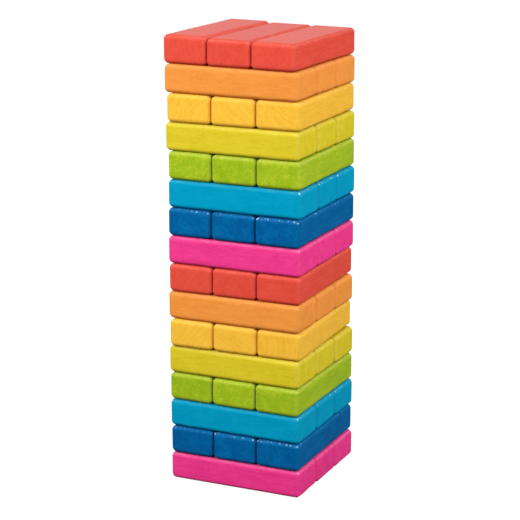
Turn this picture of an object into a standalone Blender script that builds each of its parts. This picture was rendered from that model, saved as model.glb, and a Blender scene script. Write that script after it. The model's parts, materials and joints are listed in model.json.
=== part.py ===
"""Giant tumbling tower: sixteen layers of three stained wooden blocks, stacked crosswise.

Run with: blender --background --python part.py

Units are metres and +Z is up. The origin is the middle of the footprint, on the ground.
-Y is the front and +X is the right-hand side. Layers count from 1 at the bottom: odd layers
run left to right along X, and even layers run front to back along Y. Every block is an
object of its own, with its origin at its centre and its length along its own X axis, which
is also the way it slides out of the tower.
"""

import math

import bmesh
import bpy
from mathutils import Euler, Vector

# Driving dimensions
BLOCK_LENGTH = 0.150
BLOCK_WIDTH = 0.0493
BLOCK_THICKNESS = 0.0296
EDGE_ROUNDING = 0.0048
EDGE_SEGMENTS = 2
GAP_BETWEEN_LAYERS = 0.0003
GAP_BETWEEN_BLOCKS = 0.0005
THINNER_BLOCKS = {"block_16_red_middle": 0.0282, "block_16_red_right": 0.0280}

# How each layer lies in the stack, from the bottom up:
# stain, turn about Z in degrees, shift to the right and shift to the back in millimetres.
LAYERS = [
    ("pink", 0.1, 2.2, 0.2),
    ("blue", 0.0, 1.8, -0.1),
    ("cyan", -0.3, 1.6, 0.0),
    ("green", -0.6, 1.7, -0.3),
    ("yellow", -0.3, 1.0, 0.2),
    ("amber", 1.4, 0.6, -0.1),
    ("orange", -0.1, 0.9, -0.1),
    ("red", 0.9, 0.6, 0.3),
    ("pink", 0.2, 1.3, 0.0),
    ("blue", -0.4, 1.4, -0.1),
    ("cyan", 0.2, 1.6, 0.4),
    ("green", 0.2, 1.6, 0.2),
    ("yellow", -0.2, 0.2, -0.2),
    ("amber", 0.5, 0.6, 0.0),
    ("orange", -0.9, -0.4, -0.2),
    ("red", -1.9, -1.1, 0.1),
]

# Blocks that stick out a little: how far each of a layer's three blocks, in the order of the
# places below, lies along its own length from the layer's middle, in millimetres.
SLIPS = {
    1: (-0.6, 0.3, 0.5),
    3: (0.0, 0.0, 0.5),
    5: (-0.2, -0.2, 0.8),
    7: (-0.2, 0.0, 0.3),
    9: (-0.3, 0.0, 0.3),
    11: (-0.2, 0.1, 0.3),
    13: (-0.6, 0.1, 0.8),
    15: (-0.2, 0.0, 0.4),
}
PLACES_ALONG_Y = ("front", "middle", "back")
PLACES_ALONG_X = ("left", "middle", "right")

# Stain colours, linear RGB
STAINS = {
    "red": (0.80, 0.085, 0.055),
    "orange": (0.88, 0.31, 0.055),
    "amber": (0.90, 0.52, 0.055),
    "yellow": (0.72, 0.58, 0.028),
    "green": (0.30, 0.46, 0.014),
    "cyan": (0.003, 0.34, 0.55),
    "blue": (0.003, 0.105, 0.30),
    "pink": (0.79, 0.038, 0.235),
}
STAIN_ROUGHNESS = 0.4


def clear_scene():
    for scene_object in list(bpy.data.objects):
        bpy.data.objects.remove(scene_object, do_unlink=True)


def stain_material(stain):
    material = bpy.data.materials.new(f"stain_{stain}")
    material.use_nodes = True
    shader = material.node_tree.nodes["Principled BSDF"]
    shader.inputs["Base Color"].default_value = (*STAINS[stain], 1.0)
    shader.inputs["Roughness"].default_value = STAIN_ROUGHNESS
    shader.inputs["Metallic"].default_value = 0.0
    return material


def block_mesh(name, thickness):
    """A plain box of the block's size, its length along X, centred on the origin."""
    box = bmesh.new()
    bmesh.ops.create_cube(box, size=1.0)
    size = Vector((BLOCK_LENGTH, BLOCK_WIDTH, thickness))
    bmesh.ops.scale(box, vec=size, verts=box.verts)
    mesh = bpy.data.meshes.new(name)
    box.to_mesh(mesh)
    box.free()
    mesh.shade_smooth()
    return mesh


def round_edges(block):
    """Every edge of a block is rounded over, as sanded toy blocks are."""
    bevel = block.modifiers.new("rounded_edges", "BEVEL")
    bevel.limit_method = "NONE"
    bevel.width = EDGE_ROUNDING
    bevel.segments = EDGE_SEGMENTS
    bevel.harden_normals = True


def add_block(name, material, centre, heading, thickness, collection):
    block = bpy.data.objects.new(name, block_mesh(name, thickness))
    block.location = centre
    block.rotation_euler = Euler((0.0, 0.0, heading))
    block.data.materials.append(material)
    round_edges(block)
    collection.objects.link(block)


def add_layer(number, materials, collection):
    stain, turn_degrees, right_mm, back_mm = LAYERS[number - 1]
    turn = math.radians(turn_degrees)
    along_x = number % 2 == 1
    places = PLACES_ALONG_Y if along_x else PLACES_ALONG_X
    base = (number - 1) * (BLOCK_THICKNESS + GAP_BETWEEN_LAYERS)
    middle_of_layer = Vector((right_mm / 1000, back_mm / 1000, base))
    slips = SLIPS.get(number, (0.0, 0.0, 0.0))
    for index, place in enumerate(places):
        name = f"block_{number:02d}_{stain}_{place}"
        thickness = THINNER_BLOCKS.get(name, BLOCK_THICKNESS)
        across = (index - 1) * (BLOCK_WIDTH + GAP_BETWEEN_BLOCKS)
        slip = slips[index] / 1000
        offset = Vector((slip, across, 0.0)) if along_x else Vector((across, slip, 0.0))
        offset.rotate(Euler((0.0, 0.0, turn)))
        lift = Vector((0.0, 0.0, thickness / 2))
        heading = turn if along_x else turn + math.pi / 2
        add_block(name, materials[stain], middle_of_layer + offset + lift, heading, thickness, collection)


def build_tower():
    collection = bpy.data.collections.new("giant_tumbling_tower")
    bpy.context.scene.collection.children.link(collection)
    materials = {stain: stain_material(stain) for stain in STAINS}
    for number in range(1, len(LAYERS) + 1):
        add_layer(number, materials, collection)


clear_scene()
build_tower()
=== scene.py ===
"""The looks of the giant tumbling tower: forty-eight stained wooden blocks in a white studio.

Each CAD block is replaced by a finer one, made here in mesh code: rounded over as if by hand, a
little uneven, with small dents along its edges. Every block is cut from a tree trunk of its
own, so the growth rings that show as faint arcs on its ends run on along its sides.
"""

import json
import math
import random

import bmesh
import bpy
import numpy as np
from mathutils import Matrix, Vector


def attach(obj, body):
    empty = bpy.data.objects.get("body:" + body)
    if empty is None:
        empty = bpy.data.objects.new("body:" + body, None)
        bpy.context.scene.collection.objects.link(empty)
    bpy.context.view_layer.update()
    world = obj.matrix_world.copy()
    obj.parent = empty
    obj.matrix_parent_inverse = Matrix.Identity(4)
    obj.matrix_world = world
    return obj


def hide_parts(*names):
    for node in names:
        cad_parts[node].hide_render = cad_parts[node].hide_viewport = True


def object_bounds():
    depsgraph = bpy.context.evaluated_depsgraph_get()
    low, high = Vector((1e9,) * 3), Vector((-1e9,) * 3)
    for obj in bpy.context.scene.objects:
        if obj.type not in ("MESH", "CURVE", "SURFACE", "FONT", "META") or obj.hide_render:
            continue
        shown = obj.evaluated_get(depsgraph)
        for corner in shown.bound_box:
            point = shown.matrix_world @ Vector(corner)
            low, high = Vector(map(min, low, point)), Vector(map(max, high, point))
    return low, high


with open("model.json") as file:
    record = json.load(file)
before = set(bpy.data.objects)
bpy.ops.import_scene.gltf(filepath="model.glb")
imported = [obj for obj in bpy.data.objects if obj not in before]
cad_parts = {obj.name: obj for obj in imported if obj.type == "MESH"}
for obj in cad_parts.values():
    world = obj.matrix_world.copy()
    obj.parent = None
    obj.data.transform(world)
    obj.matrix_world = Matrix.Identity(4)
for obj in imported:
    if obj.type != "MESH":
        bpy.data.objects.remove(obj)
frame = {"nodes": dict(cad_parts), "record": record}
cad_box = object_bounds()

# ---------------------------------------------------------------- block shape, in metres

EDGE_ROUNDING = 0.0048
ARC_STEPS = 5           # grid lines over half of a rounded edge
FLAT_MARGIN = 0.0005    # a narrow first row on the flat keeps its shading flat
GRID_STEP = 0.0018
WAVINESS = 0.00008      # how far a sanded face wanders from flat
FACE_WAVE = 0.05        # and the wavelength at which it does
UNEVEN_ROUNDING = 0.00030   # how far a sanded edge strays from an even rounding
EDGE_WAVE = 0.03        # and the wavelength at which it does
DENTS_PER_BLOCK = 14
DENT_RADIUS = (0.0009, 0.0026)
DENT_DEPTH = (0.00008, 0.00035)
DENT_INSET = 0.3        # of the rounding: how far inside the sharp edge a dent's middle is

# The tree that a block was sawn from
PITH_DISTANCE = (0.035, 0.085)
TRUNK_LEAN = 0.03


def stations(half):
    """Where the surface grid crosses one axis: even steps on the flat, finer ones over each edge."""
    flat = half - EDGE_ROUNDING
    inner = flat - FLAT_MARGIN
    steps = np.linspace(-inner, inner, round(2 * inner / GRID_STEP) + 1)
    angles = np.radians(np.linspace(0.0, 45.0, ARC_STEPS + 1))
    arc = flat + EDGE_ROUNDING * np.tan(angles)
    return np.concatenate([-arc[::-1], steps, arc])


def box_grid(half_size):
    """Points and outward four-sided faces of a sharp box, cut along its stations."""
    lines = [stations(half) for half in half_size]
    lattice = np.stack(np.meshgrid(*lines, indexing="ij"), axis=-1)
    outside = np.zeros(lattice.shape[:3], bool)
    outside[[0, -1]] = True
    outside[:, [0, -1]] = True
    outside[:, :, [0, -1]] = True
    numbers = np.full(outside.shape, -1)
    numbers[outside] = np.arange(outside.sum())
    faces = []
    for axis in range(3):
        for end in (0, -1):
            side = np.take(numbers, end, axis=axis)
            corners = (side[:-1, :-1], side[1:, :-1], side[1:, 1:], side[:-1, 1:])
            quads = np.stack(corners, axis=-1).reshape(-1, 4)
            faces.append(quads if (end == -1) != (axis == 1) else quads[:, ::-1])
    return lattice[outside], np.concatenate(faces)


def rounded(points, half_size):
    """The box's points pulled onto its rounded surface, and the surface's outward direction there."""
    flat = np.array(half_size) - EDGE_ROUNDING
    core = np.clip(points, -flat, flat)
    outward = points - core
    outward /= np.linalg.norm(outward, axis=1, keepdims=True)
    return core + outward * EDGE_ROUNDING, outward


def ripple(points, wavelength, chance):
    """A smooth pattern between about -1 and 1, made of a few waves in different directions."""
    total = np.zeros(len(points))
    for _ in range(4):
        direction = Vector([chance.gauss(0, 1) for _ in range(3)]).normalized()
        turn = chance.uniform(0, math.tau)
        stretch = chance.uniform(0.7, 1.5)
        total += np.sin(points @ np.array(direction) * math.tau * stretch / wavelength + turn)
    return total / 4


def dent_depths(points, half_size, chance):
    """How deep small knocks along the block's edges go at each point."""
    depth = np.zeros(len(points))
    for _ in range(DENTS_PER_BLOCK):
        place = [chance.uniform(-half, half) for half in half_size]
        pressed = chance.sample(range(3), 2)
        for axis in pressed:
            place[axis] = math.copysign(half_size[axis] - EDGE_ROUNDING * DENT_INSET, place[axis])
        radius = chance.uniform(*DENT_RADIUS)
        nearness = np.linalg.norm(points - np.array(place), axis=1) / radius
        bowl = np.clip(1 - nearness**2, 0, None) ** 2
        depth += bowl * chance.uniform(*DENT_DEPTH)
    return depth


def trunk_places(points, chance):
    """Where each point was in its tree: x runs up the trunk, and the pith is on the x axis."""
    from_pith = chance.uniform(*PITH_DISTANCE)
    lean = Matrix.Rotation(chance.uniform(-TRUNK_LEAN, TRUNK_LEAN), 3, "Z")
    roll = Matrix.Rotation(chance.uniform(0, math.tau), 3, "X")
    up_trunk = chance.uniform(0, 2)
    turned = points @ np.array(lean @ roll).T
    return turned + np.array([up_trunk, from_pith, 0.0])


def keep(mesh, name, kind, values):
    """Stores a value for each point, for the material to read."""
    attribute = mesh.attributes.new(name, kind, "POINT")
    field = "vector" if kind == "FLOAT_VECTOR" else "value"
    attribute.data.foreach_set(field, values.astype(np.float32).ravel())


def block_mesh(name, half_size, chance):
    """One block, its length along X, centred on the origin."""
    grid, faces = box_grid(half_size)
    points, outward = rounded(grid, half_size)
    edge = np.clip((1 - np.abs(outward).max(axis=1)) / (1 - math.sqrt(0.5)), 0, 1)
    offset = WAVINESS * ripple(points, FACE_WAVE, chance)
    offset += edge * UNEVEN_ROUNDING * (ripple(points, EDGE_WAVE, chance) - 0.5)
    offset -= dent_depths(points, half_size, chance)
    mesh = bpy.data.meshes.new(name)
    mesh.from_pydata((points + outward * offset[:, None]).tolist(), [], faces.tolist())
    mesh.shade_smooth()
    keep(mesh, "trunk", "FLOAT_VECTOR", trunk_places(points, chance))
    keep(mesh, "edge", "FLOAT", edge)
    keep(mesh, "corner", "FLOAT", np.abs(outward).prod(axis=1) * 3 * math.sqrt(3))
    keep(mesh, "upward", "FLOAT", outward[:, 2])
    keep(mesh, "end_grain", "FLOAT", outward[:, 0] ** 2)
    keep(mesh, "tone", "FLOAT", np.full(len(points), chance.uniform(-1, 1)))
    return mesh


# ---------------------------------------------------------------- materials

# Each stain in linear RGB: where the wood drinks most of it, on the whole, and where it takes
# least
STAINS = {
    "red": ((0.539, 0.038, 0.026), (0.688, 0.068, 0.042), (0.744, 0.100, 0.064)),
    "orange": ((0.674, 0.216, 0.036), (0.798, 0.276, 0.047), (0.855, 0.334, 0.068)),
    "amber": ((0.699, 0.367, 0.027), (0.832, 0.461, 0.040), (0.888, 0.526, 0.070)),
    "yellow": ((0.500, 0.413, 0.011), (0.637, 0.509, 0.019), (0.715, 0.586, 0.040)),
    "green": ((0.210, 0.350, 0.006), (0.300, 0.442, 0.011), (0.500, 0.555, 0.030)),
    "cyan": ((0.0004, 0.225, 0.399), (0.0006, 0.294, 0.484), (0.004, 0.332, 0.532)),
    "blue": ((0.0004, 0.072, 0.225), (0.0008, 0.100, 0.289), (0.003, 0.160, 0.400)),
    "pink": ((0.630, 0.024, 0.167), (0.800, 0.040, 0.243), (0.880, 0.064, 0.300)),
}
BARE_WOOD = (0.86, 0.80, 0.72)

# How much bare wood colour goes into the paled edges: wear, where sanding has thinned a stain, and a painted
# highlight, where the edges face the light
WEAR_AND_HIGHLIGHT_PALING = 0.08
WEAR_AND_HIGHLIGHT_PALINGS = {"pink": 0.14, "yellow": 0.11, "green": 0.10, "cyan": 0.04, "blue": 0.015}

# The least share of that paling, wear and painted highlight, on a block's upright edges
PALE_RIM = 0.10
PALE_RIMS = {"yellow": 0.60, "green": 0.42, "red": 0.35, "amber": 0.20}

# How readily a stain shows white specks along the upper edges, and how much more readily at the
# corners of the ends: white chips and painted glints, those at the corners being painted glints
CHIPS_AND_GLINTS = {"cyan": 0.13, "blue": 0.15, "pink": 0.09, "green": 0.05}
CORNER_CHIPS_AND_GLINTS = {"cyan": 0.16, "blue": 0.12, "pink": 0.12}
CHIP_AND_GLINT_WHITE = (0.84, 0.90, 0.92)
CHIP_AND_GLINT_LEVEL = 0.80           # a pattern value above this, less the stain's readiness, makes a white speck
CHIP_AND_GLINT_SOFTNESS = 0.05
CHIP_AND_GLINT_WHITENESS = 0.50
END_EDGE_CHIPS_AND_GLINTS = 0.05      # how much more readily the edges of the ends show white specks

# Painted shade: how much darker a stain is made along a block's lower edges, where one layer shades the next
PAINTED_SHADE = 0.75
PAINTED_SHADE_DARKENING = 0.45

# How blotchy a stain is on the ends, where it soaks in deepest
MOTTLING = {"green": 1.2, "blue": 1.1, "red": 0.7, "amber": 0.9}

# How much darker the end of a year's growth is: on the ends, by stain, and along the sides
FAINT_RINGS = 0.08
RINGS = {"amber": 0.22}
RINGS_ALONG = 0.06
RING_WIDTH = 0.0034
RING_WANDER = 0.022         # metres that a ring strays from a circle at most
RING_SHARPNESS = 1.8

# How many features a metre each pattern has: up the trunk, and both ways across it
STREAKS = (45.0, 480.0, 480.0)
FIBRES = (90.0, 1900.0, 1900.0)
BLOTCHES = (42.0, 95.0, 95.0)
FLECKS = (150.0, 1200.0, 1200.0)
PORES = (300.0, 520.0, 520.0)
STRAYING = (5.0, 40.0, 40.0)
THIN_PATCHES = (120.0, 260.0, 260.0)
CHIP_AND_GLINT_NOISE = (220.0, 420.0, 420.0)

# How the patterns change the colour: higher is paler
FLECK_DARKENING = 0.25
TONE_VARIATION = 0.05       # between one block and another of the same stain

# The satin finish
SATIN = 0.38
END_ROUGHER = 0.10
LACQUER_IOR = 1.10
SOAKED_IOR = {"cyan": 1.05, "blue": 1.05}   # the two stains that shine least
RELIEF_STRENGTH = 0.6
RELIEF_DEPTH = 0.00016
FLECK_RELIEF = 0.5


class NodeMaker:
    """Adds nodes to a material, joining sockets and setting values by name."""

    def __init__(self, tree):
        self.tree = tree

    def add(self, kind, inputs=None, **settings):
        node = self.tree.nodes.new(kind)
        for name, value in settings.items():
            setattr(node, name, value)
        for name, value in (inputs or {}).items():
            if isinstance(value, bpy.types.NodeSocket):
                self.tree.links.new(value, node.inputs[name])
            else:
                node.inputs[name].default_value = value
        return node

    def read(self, name, output="Fac"):
        """A value that block_mesh stored on the mesh."""
        return self.add("ShaderNodeAttribute", attribute_name=name).outputs[output]

    def maths(self, operation, *values):
        inputs = dict(enumerate(values))
        return self.add("ShaderNodeMath", inputs, operation=operation).outputs[0]

    def stretched(self, vector, per_metre):
        inputs = {0: vector, 1: per_metre}
        return self.add("ShaderNodeVectorMath", inputs, operation="MULTIPLY").outputs[0]

    def noise(self, vector, per_metre, detail=2.0, roughness=0.5):
        """Noise with so many features a metre along each axis."""
        inputs = {
            "Vector": self.stretched(vector, per_metre),
            "Scale": 1.0,
            "Detail": detail,
            "Roughness": roughness,
        }
        return self.add("ShaderNodeTexNoise", inputs).outputs["Fac"]

    def between(self, value, low, high, to_low=0.0, to_high=1.0):
        """The value eased from low to high, as to_low to to_high."""
        inputs = {"Value": value, 1: low, 2: high, 3: to_low, 4: to_high}
        return self.add("ShaderNodeMapRange", inputs, interpolation_type="SMOOTHSTEP").outputs[0]

    def weighted(self, start, *terms):
        """start plus each (value - 0.5) * weight."""
        total = start
        for value, weight in terms:
            centred = self.maths("SUBTRACT", value, 0.5)
            total = self.maths("MULTIPLY_ADD", centred, weight, total)
        return total

    def mix(self, factor, first, second):
        """Two numbers mixed."""
        return self.add("ShaderNodeMix", {0: factor, 2: first, 3: second}).outputs[0]

    def mix_colour(self, factor, first, second):
        inputs = {0: factor, 6: first, 7: second}
        return self.add("ShaderNodeMix", inputs, data_type="RGBA").outputs[2]

    def ramp(self, factor, colours):
        node = self.add("ShaderNodeValToRGB", {"Fac": factor})
        stops = node.color_ramp.elements
        while len(stops) < len(colours):
            stops.new(0.5)
        for index, colour in enumerate(colours):
            stops[index].position = index / (len(colours) - 1)
            stops[index].color = (*colour, 1.0)
        return node.outputs["Color"]


def blend(first, second, share):
    """The first colour with a share of the second in it, as RGBA."""
    return (*(a + (b - a) * share for a, b in zip(first, second)), 1.0)


def growth_rings(make, trunk):
    """From 0 just after a winter to 1 just before the next."""
    across = make.stretched(trunk, (0.0, 1.0, 1.0))
    radius = make.add("ShaderNodeVectorMath", {0: across}, operation="LENGTH").outputs["Value"]
    straying = make.noise(trunk, STRAYING, 3.0)
    wandering = make.maths("MULTIPLY_ADD", straying, RING_WANDER, radius)
    years = make.maths("DIVIDE", wandering, RING_WIDTH)
    return make.maths("POWER", make.maths("PINGPONG", years, 1.0), RING_SHARPNESS)


class Wood:
    """The patterns of one stain's wood, which its colour, gloss and relief share.

    edge is 0 on a flat face and 1 halfway round an edge, upward goes from -1 facing down to 1
    facing up, and end_grain from 0 on the sides to 1 on the ends.
    """

    def __init__(self, make):
        self.trunk = make.read("trunk", "Vector")
        self.edge = make.read("edge")
        self.upward = make.read("upward")
        self.end_grain = make.read("end_grain")
        self.on_end = make.between(self.end_grain, 0.35, 0.65)
        self.rings = growth_rings(make, self.trunk)
        self.streaks = make.noise(self.trunk, STREAKS, 3.0, 0.6)
        self.fibres = make.noise(self.trunk, FIBRES, 2.0, 0.6)
        self.blotches = make.noise(self.trunk, BLOTCHES, 3.0, 0.6)
        self.flecks = make.between(make.noise(self.trunk, FLECKS, 1.0), 0.60, 0.70)
        self.pores = make.noise(self.trunk, PORES, 4.0, 0.75)


def grain_colour(make, wood, stain):
    """Long grain on the sides, and mottling with faint rings on the ends."""
    side = make.weighted(
        0.52,
        (wood.streaks, 0.60),
        (wood.fibres, 0.60),
        (wood.blotches, 0.70),
        (wood.rings, -RINGS_ALONG),
        (wood.pores, 0.70),
    )
    side = make.maths("MULTIPLY_ADD", wood.flecks, -FLECK_DARKENING, side)
    mottling = MOTTLING.get(stain, 1.0)
    end = make.weighted(
        0.50,
        (wood.pores, 1.30 * mottling),
        (wood.blotches, 0.90 * mottling),
        (wood.rings, -RINGS.get(stain, FAINT_RINGS)),
    )
    grain = make.mix(wood.on_end, side, end)
    grain = make.maths("MULTIPLY_ADD", make.read("tone"), TONE_VARIATION, grain)
    return make.ramp(grain, STAINS[stain])


def worn_and_highlit_edges(make, wood, stain, colour):
    """The colour paled on the edges, most of all on the upper ones: the stain sanded thin, and a painted
    highlight where the edges face the light.
    """
    patchy = make.noise(wood.trunk, THIN_PATCHES, 2.0)
    # Upper edges pale most and lower ones least: a painted highlight of the light from above, on top of the
    # wear
    wear_and_highlight = make.between(wood.upward, -0.2, 0.6, PALE_RIMS.get(stain, PALE_RIM), 1.0)
    wear_and_highlight = make.maths("MULTIPLY", wear_and_highlight, make.between(wood.upward, -0.7, -0.1, 0.15, 1.0))
    wear_and_highlight = make.maths("MULTIPLY", wear_and_highlight, wood.edge)
    worn_and_highlit = make.maths("MULTIPLY", wear_and_highlight, make.between(patchy, 0.3, 0.7, 0.35, 0.85))
    worn_and_highlit_colour = blend(STAINS[stain][2], BARE_WOOD, WEAR_AND_HIGHLIGHT_PALINGS.get(stain, WEAR_AND_HIGHLIGHT_PALING))
    return make.mix_colour(worn_and_highlit, colour, worn_and_highlit_colour)


def painted_shade_under_edges(make, wood, stain, colour):
    """The colour with painted shade along the lower edges, the stain taken darker there."""
    lower = make.between(wood.upward, -0.35, -0.85)
    painted_shade_share = make.maths("MULTIPLY", make.between(wood.edge, 0.0, 0.4), lower)
    painted_shade_share = make.maths("MULTIPLY", painted_shade_share, PAINTED_SHADE)
    dark = blend(STAINS[stain][0], (0.0, 0.0, 0.0), PAINTED_SHADE_DARKENING)
    return make.mix_colour(painted_shade_share, colour, dark)


def chips_and_glints(make, wood, stain, colour):
    """The colour with white specks along the upper edges, most of all at the ends: white chips and painted
    glints.
    """
    chip_and_glint_field = make.noise(wood.trunk, CHIP_AND_GLINT_NOISE, 2.0, 0.7)
    tip = make.between(make.read("corner"), 0.60, 1.00)
    chip_and_glint_field = make.maths("MULTIPLY_ADD", tip, CORNER_CHIPS_AND_GLINTS.get(stain, 0.0), chip_and_glint_field)
    near_end = make.between(wood.end_grain, 0.05, 0.25)
    chip_and_glint_field = make.maths("MULTIPLY_ADD", near_end, END_EDGE_CHIPS_AND_GLINTS, chip_and_glint_field)
    chip_and_glint_level = CHIP_AND_GLINT_LEVEL - CHIPS_AND_GLINTS.get(stain, 0.0)
    chipped_and_glinting = make.between(chip_and_glint_field, chip_and_glint_level, chip_and_glint_level + CHIP_AND_GLINT_SOFTNESS)
    # Specks only on edges facing up, where painted glints stand in for light from above
    upper_edge = make.maths("MULTIPLY", wood.edge, make.between(wood.upward, 0.1, 0.5))
    chip_and_glint_share = make.maths("MULTIPLY", make.between(upper_edge, 0.35, 0.85), chipped_and_glinting)
    white = blend(STAINS[stain][2], CHIP_AND_GLINT_WHITE, CHIP_AND_GLINT_WHITENESS)
    return make.mix_colour(chip_and_glint_share, colour, white)


def satin_roughness(make, wood):
    """Even on the sides and a little rougher on the ends."""
    side = make.weighted(SATIN, (wood.streaks, 0.10), (wood.blotches, 0.08))
    end = make.weighted(SATIN + END_ROUGHER, (wood.pores, 0.16))
    return make.mix(wood.on_end, side, end)


def grain_relief(make, wood):
    """The normal of the raised grain."""
    side = make.weighted(0.5, (wood.streaks, 0.5), (wood.fibres, 0.9), (wood.rings, 0.25))
    side = make.maths("MULTIPLY_ADD", wood.flecks, -FLECK_RELIEF, side)
    end = make.weighted(0.5, (wood.pores, 1.1), (wood.rings, 0.25))
    height = make.mix(wood.on_end, side, end)
    inputs = {"Strength": RELIEF_STRENGTH, "Distance": RELIEF_DEPTH, "Height": height}
    return make.add("ShaderNodeBump", inputs).outputs["Normal"]


def stained_wood(stain):
    """Satin-lacquered wood in one stain."""
    material = bpy.data.materials.new(f"{stain}_stained_wood")
    material.use_nodes = True
    tree = material.node_tree
    shader = tree.nodes["Principled BSDF"]
    make = NodeMaker(tree)
    wood = Wood(make)
    colour = grain_colour(make, wood, stain)
    colour = worn_and_highlit_edges(make, wood, stain, colour)
    colour = painted_shade_under_edges(make, wood, stain, colour)
    colour = chips_and_glints(make, wood, stain, colour)
    tree.links.new(colour, shader.inputs["Base Color"])
    tree.links.new(satin_roughness(make, wood), shader.inputs["Roughness"])
    tree.links.new(grain_relief(make, wood), shader.inputs["Normal"])
    shader.inputs["IOR"].default_value = SOAKED_IOR.get(stain, LACQUER_IOR)
    return material


# ---------------------------------------------------------------- the tower


def lie_of(node):
    """A CAD block's middle, heading of its length and half sizes, all measured on its own mesh."""
    points = np.array([vertex.co for vertex in frame["nodes"][node].data.vertices])
    middle = (points.min(axis=0) + points.max(axis=0)) / 2
    flat = (points - middle)[:, :2]
    _, directions = np.linalg.eigh(flat.T @ flat)
    along = directions[:, 1] * (1 if directions[:, 1].sum() > 0 else -1)
    across = np.array([-along[1], along[0]])
    height = np.ptp(points[:, 2])
    half_size = (np.abs(flat @ along).max(), np.abs(flat @ across).max(), height / 2)
    return middle, math.atan2(along[1], along[0]), half_size


def build_block(node, body, material):
    middle, heading, half_size = lie_of(node)
    chance = random.Random(node)
    block = bpy.data.objects.new(f"{node}_wood", block_mesh(f"{node}_wood", half_size, chance))
    block.location = Vector(middle)
    block.rotation_euler = (0.0, 0.0, heading)
    block.data.materials.append(material)
    bpy.context.scene.collection.objects.link(block)
    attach(block, body)
    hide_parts(node)


def build_tower():
    materials = {f"stain_{stain}": stained_wood(stain) for stain in STAINS}
    record = frame["record"]
    slots = {part["node"]: part["material_slot"] for part in record["subparts"]}
    for body, nodes in record["behaviour"]["bodies"].items():
        for node in nodes:
            build_block(node, body, materials[slots[node]])


# ---------------------------------------------------------------- studio

TOWER_HEIGHT = cad_box[1].z
FLOOR_SIZE = 30.0
PAPER_GREY = (0.35, 0.35, 0.35)
PAPER_OVEREXPOSURE = 0.85
SURROUND = 0.49             # how bright the white walls are, as they light the tower
SURROUND_SEEN = 1.0         # and as the camera sees them

# Each softbox: where it stands, how wide and high it is, and its watts. The first four point at
# the tower's upper part, and the last at its top, where it makes the sheen.
SOFTBOX_AIM = Vector((0.0, 0.0, TOWER_HEIGHT * 0.7))
SOFTBOXES = {
    "front_left_softbox": ((-0.66, -0.94, 0.95), (0.7, 0.7), 12.7),
    "front_right_softbox": ((1.05, -0.47, 0.95), (0.7, 0.7), 10.7),
    "back_left_softbox": ((-1.45, 0.95, 0.85), (0.8, 0.8), 4.8),
    "back_right_softbox": ((1.45, 0.95, 0.85), (0.8, 0.8), 4.8),
}
TOP_SHEEN_AIM = Vector((0.0, 0.0, TOWER_HEIGHT))
TOP_SHEEN = ((-0.80, 1.76, 0.99), (1.0, 0.8), 2.8)


def build_floor():
    """A plain white floor that runs on past the view."""
    mesh = bpy.data.meshes.new("studio_floor")
    grid = bmesh.new()
    bmesh.ops.create_grid(grid, x_segments=8, y_segments=8, size=FLOOR_SIZE / 2)
    grid.to_mesh(mesh)
    grid.free()
    floor = bpy.data.objects.new("studio_floor", mesh)
    bpy.context.scene.collection.objects.link(floor)
    mesh.materials.append(white_paper())


def white_paper():
    """Matt paper that the camera sees over-exposed to white, while it lights the tower softly from below."""
    material = bpy.data.materials.new("white_paper")
    material.use_nodes = True
    tree = material.node_tree
    make = NodeMaker(tree)
    shader = tree.nodes["Principled BSDF"]
    shader.inputs["Base Color"].default_value = (*PAPER_GREY, 1.0)
    shader.inputs["Roughness"].default_value = 1.0
    shader.inputs["Specular IOR Level"].default_value = 0.0
    seen = make.add("ShaderNodeLightPath").outputs["Is Camera Ray"]
    glow = make.maths("MULTIPLY", seen, PAPER_OVEREXPOSURE)
    shader.inputs["Emission Color"].default_value = (1.0, 1.0, 1.0, 1.0)
    tree.links.new(glow, shader.inputs["Emission Strength"])
    return material


def softbox(name, aim, place, size, watts):
    light = bpy.data.lights.new(name, "AREA")
    light.shape = "RECTANGLE"
    light.size, light.size_y = size
    light.energy = watts
    lamp = bpy.data.objects.new(name, light)
    lamp.location = place
    lamp.rotation_euler = (aim - Vector(place)).to_track_quat("-Z", "Y").to_euler()
    lamp.visible_camera = False
    bpy.context.scene.collection.objects.link(lamp)


def light_studio():
    world = bpy.data.worlds.new("white_studio")
    world.use_nodes = True
    make = NodeMaker(world.node_tree)
    surround = world.node_tree.nodes["Background"]
    surround.inputs["Color"].default_value = (1.0, 1.0, 1.0, 1.0)
    seen = make.add("ShaderNodeLightPath").outputs["Is Camera Ray"]
    strength = make.mix(seen, SURROUND, SURROUND_SEEN)
    world.node_tree.links.new(strength, surround.inputs["Strength"])
    bpy.context.scene.world = world
    for name, (place, size, watts) in SOFTBOXES.items():
        softbox(name, SOFTBOX_AIM, place, size, watts)
    softbox("top_sheen_softbox", TOP_SHEEN_AIM, *TOP_SHEEN)
    bpy.context.scene.view_settings.view_transform = "Standard"


# ---------------------------------------------------------------- camera

CAMERA_AZIMUTH = 24.6       # degrees round from the front, towards the right
CAMERA_ELEVATION = 14.7
CAMERA_DISTANCE = 1.90
CAMERA_LENS = 123.4
SENSOR_WIDTH = 36.0
CAMERA_AIM = Vector((0.0, 0.0, 0.2328))
AIM_TO_THE_RIGHT = -0.0017


def place_camera():
    camera = bpy.data.objects.new("camera", bpy.data.cameras.new("camera"))
    camera.data.lens = CAMERA_LENS
    camera.data.sensor_width = SENSOR_WIDTH
    azimuth = math.radians(CAMERA_AZIMUTH)
    elevation = math.radians(CAMERA_ELEVATION)
    flat = math.cos(elevation)
    back = Vector((math.sin(azimuth) * flat, -math.cos(azimuth) * flat, math.sin(elevation)))
    right = Vector((math.cos(azimuth), math.sin(azimuth), 0.0))
    camera.location = CAMERA_AIM + right * AIM_TO_THE_RIGHT + back * CAMERA_DISTANCE
    camera.rotation_euler = (-back).to_track_quat("-Z", "Y").to_euler()
    bpy.context.scene.collection.objects.link(camera)
    bpy.context.scene.camera = camera


place_camera()
build_tower()
build_floor()
light_studio()
